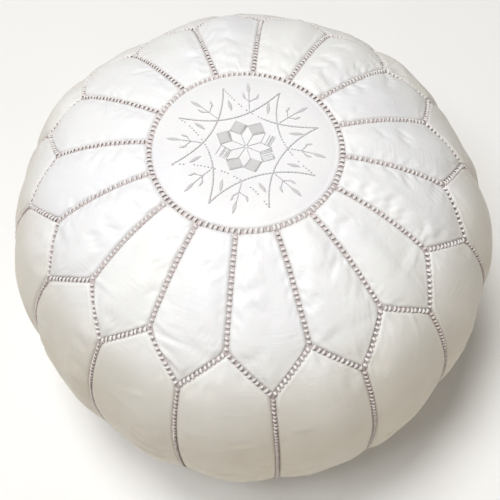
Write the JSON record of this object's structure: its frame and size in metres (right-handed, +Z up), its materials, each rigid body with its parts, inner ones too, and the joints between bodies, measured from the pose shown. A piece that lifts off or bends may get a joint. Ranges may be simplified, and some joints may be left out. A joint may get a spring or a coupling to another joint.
{
  "type": "moroccan leather pouf",
  "caption": "Round stuffed leather pouf: stitched petals round an embroidered medallion on top, tall side panels, and a flat base with a zip.",
  "frame": {"origin": "centre of the flat base, on the floor that the pouf stands on", "axes": "+Z up, X along the zip in the base with the closed end towards +X, Y across the zip"},
  "size_m": [0.5, 0.5, 0.3506],
  "materials": {
    "leather": "satin",
    "seam_thread": "matte",
    "embroidery_thread": "satin",
    "liner_cotton": "matte",
    "wadding": "matte",
    "zip_tape": "matte",
    "zip_brass": "satin"
  },
  "bodies": {
    "cover": {"petal_01": "leather", "petal_02": "leather", "petal_03": "leather", "petal_04": "leather", "petal_05": "leather", "petal_06": "leather", "petal_07": "leather", "petal_08": "leather", "petal_09": "leather", "petal_10": "leather", "petal_11": "leather", "petal_12": "leather", "petal_13": "leather", "petal_14": "leather", "petal_15": "leather", "petal_16": "leather", "side_panel_01": "leather", "side_panel_02": "leather", "side_panel_03": "leather", "side_panel_04": "leather", "side_panel_05": "leather", "side_panel_06": "leather", "side_panel_07": "leather", "side_panel_08": "leather", "side_panel_09": "leather", "side_panel_10": "leather", "side_panel_11": "leather", "side_panel_12": "leather", "side_panel_13": "leather", "side_panel_14": "leather", "side_panel_15": "leather", "side_panel_16": "leather", "medallion": "leather", "base_panel_back": "leather", "base_panel_front": "leather", "medallion_stitching": "seam_thread", "base_stitching": "seam_thread", "petal_stitching": "seam_thread", "zigzag_stitching": "seam_thread", "side_stitching": "seam_thread", "embroidered_star": "embroidery_thread", "embroidered_rosette": "embroidery_thread", "embroidered_leaves": "embroidery_thread", "embroidered_sprigs": "embroidery_thread", "embroidered_diamonds": "embroidery_thread", "cotton_liner": "liner_cotton", "filling": "wadding", "zip_tape_back": "zip_tape", "zip_tape_front": "zip_tape", "zip_tape_stitching": "seam_thread", "zip_teeth_back": "zip_brass", "zip_teeth_front": "zip_brass", "zip_top_stops": "zip_brass", "zip_bottom_stop": "zip_brass"},
    "zip_slider": {"zip_slider": "zip_brass", "zip_slider_crown": "zip_brass"},
    "zip_pull": {"zip_pull": "zip_brass"}
  },
  "joints": [
    {"name": "zip_slide", "type": "slide", "parent": "cover", "child": "zip_slider", "axis": [-1, 0, 0], "range_m": [0, 0.1875], "deforming": ["zip_teeth_back", "zip_teeth_front"]},
    {"name": "zip_pull_hinge", "type": "hinge", "parent": "zip_slider", "child": "zip_pull", "pos_m": [0.094, 0, 0.0054], "axis": [0, -1, 0], "range_deg": [0, 170]}
  ]
}
